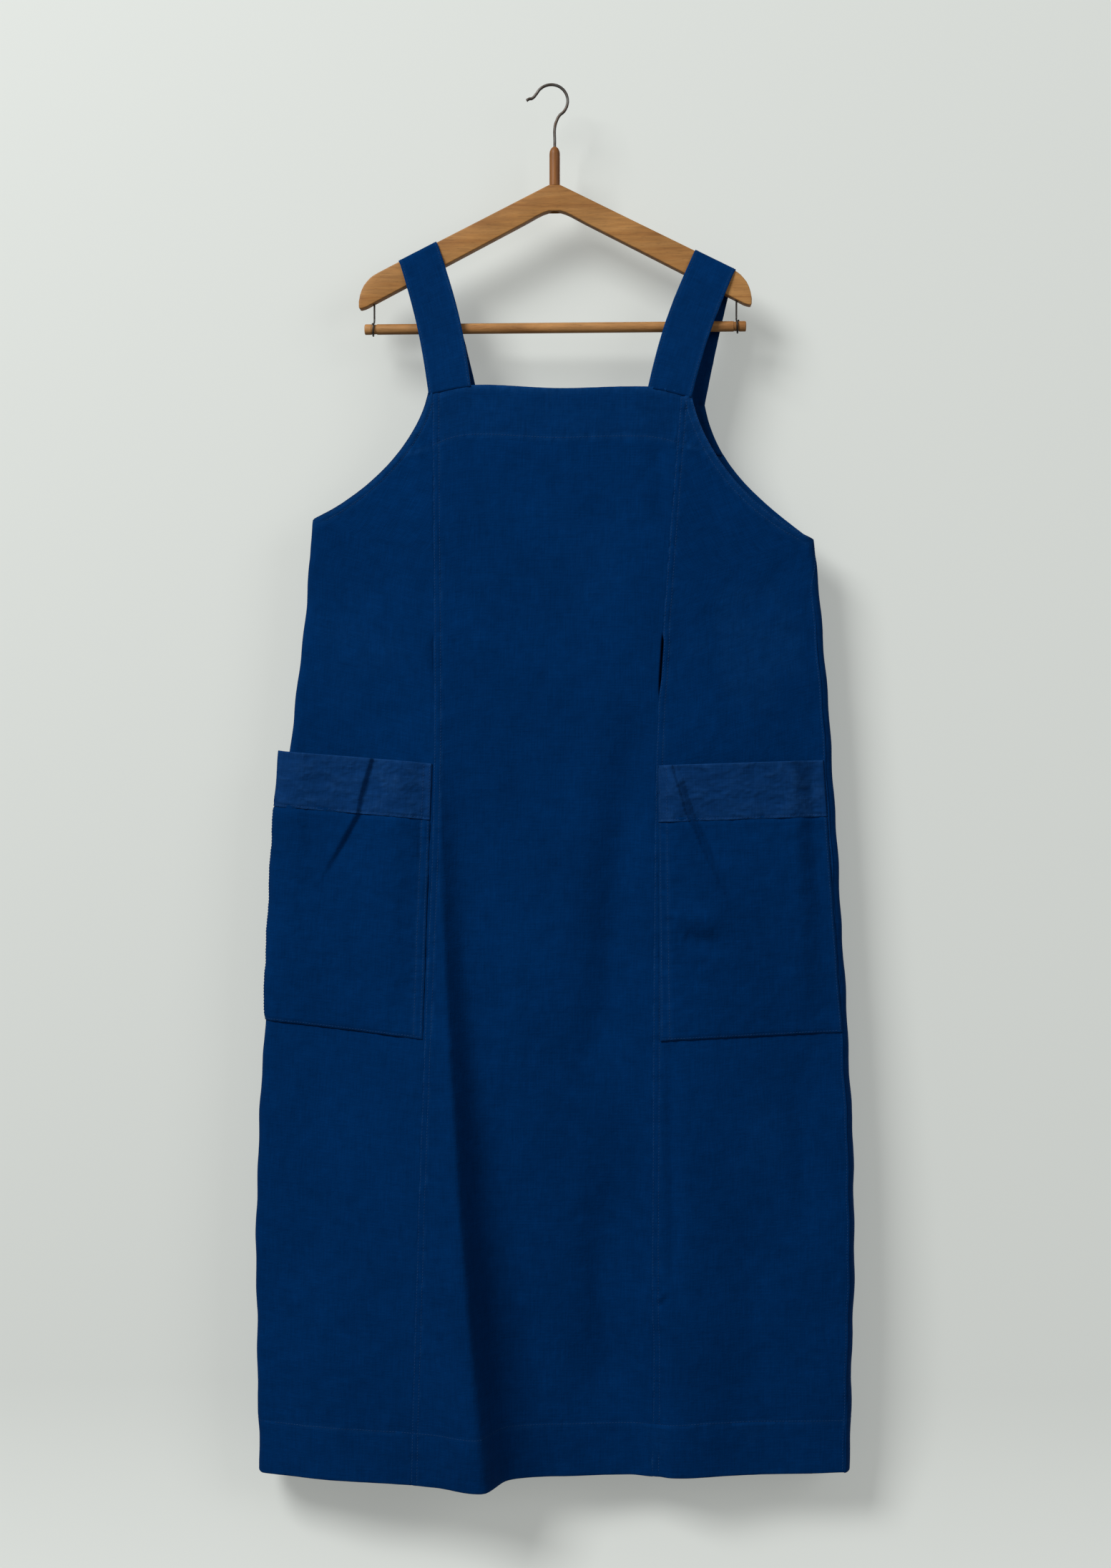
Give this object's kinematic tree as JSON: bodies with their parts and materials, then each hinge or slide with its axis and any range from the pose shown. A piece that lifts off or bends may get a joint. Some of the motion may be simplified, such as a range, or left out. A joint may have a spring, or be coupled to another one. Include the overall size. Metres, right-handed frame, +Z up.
{
  "type": "artist smock apron on a hanger",
  "caption": "Sleeveless pinafore smock of navy cloth with wide straps, panel seams and patch pockets, hung on a wooden hanger with a swivel hook and a trouser bar.",
  "frame": {"origin": "inside of the hook's bend, where a rail or peg carries it, straight above the hook's stem", "axes": "+Z up, +X to the right seen from the front, the smock's front faces -Y"},
  "size_m": [0.6521, 0.1175, 1.5113],
  "materials": {
    "smock_cloth": "matte garment-washed plain weave",
    "band_cloth": "matte plain weave, crinkled, slightly faded",
    "hanger_wood": "satin varnished, honey coloured",
    "neck_wood": "satin varnished, a shade darker",
    "hook_steel": "dull grey wire",
    "wire_steel": "dark oxidised wire"
  },
  "bodies": {
    "hook_body": {"hook": "hook_steel", "hook_washer": "hook_steel", "hook_nut": "hook_steel"},
    "hanger_body": {"yoke": "hanger_wood", "neck_sleeve": "neck_wood"},
    "bar_wires": {"bar_wire_left": "wire_steel", "bar_wire_right": "wire_steel"},
    "bar": {"trouser_bar": "hanger_wood"},
    "smock": {"front_centre_panel": "smock_cloth", "front_side_panel_left": "smock_cloth", "front_side_panel_right": "smock_cloth", "back_centre_panel": "smock_cloth", "back_side_panel_left": "smock_cloth", "back_side_panel_right": "smock_cloth", "front_bib_facing": "smock_cloth", "back_bib_facing": "smock_cloth", "armhole_binding_left": "smock_cloth", "armhole_binding_right": "smock_cloth", "strap_left": "smock_cloth", "strap_right": "smock_cloth", "pocket_left": "smock_cloth", "pocket_right": "smock_cloth", "pocket_band_left": "band_cloth", "pocket_band_right": "band_cloth"}
  },
  "joints": [
    {"name": "hook_swivel", "type": "hinge", "parent": "hook_body", "child": "hanger_body", "pos_m": [0, 0, -0.1], "axis": [0, 0, 1], "continuous": true},
    {"name": "bar_swing", "type": "hinge", "parent": "hanger_body", "child": "bar_wires", "pos_m": [0, 0, -0.229], "axis": [1, 0, 0], "range_deg": [-8, 8]},
    {"name": "bar_roll", "type": "hinge", "parent": "bar_wires", "child": "bar", "pos_m": [0, 0, -0.2632], "axis": [1, 0, 0], "continuous": true},
    {"name": "smock_lift", "type": "slide", "parent": "hanger_body", "child": "smock", "axis": [0, 0, 1], "range_m": [0, 1.54]}
  ]
}
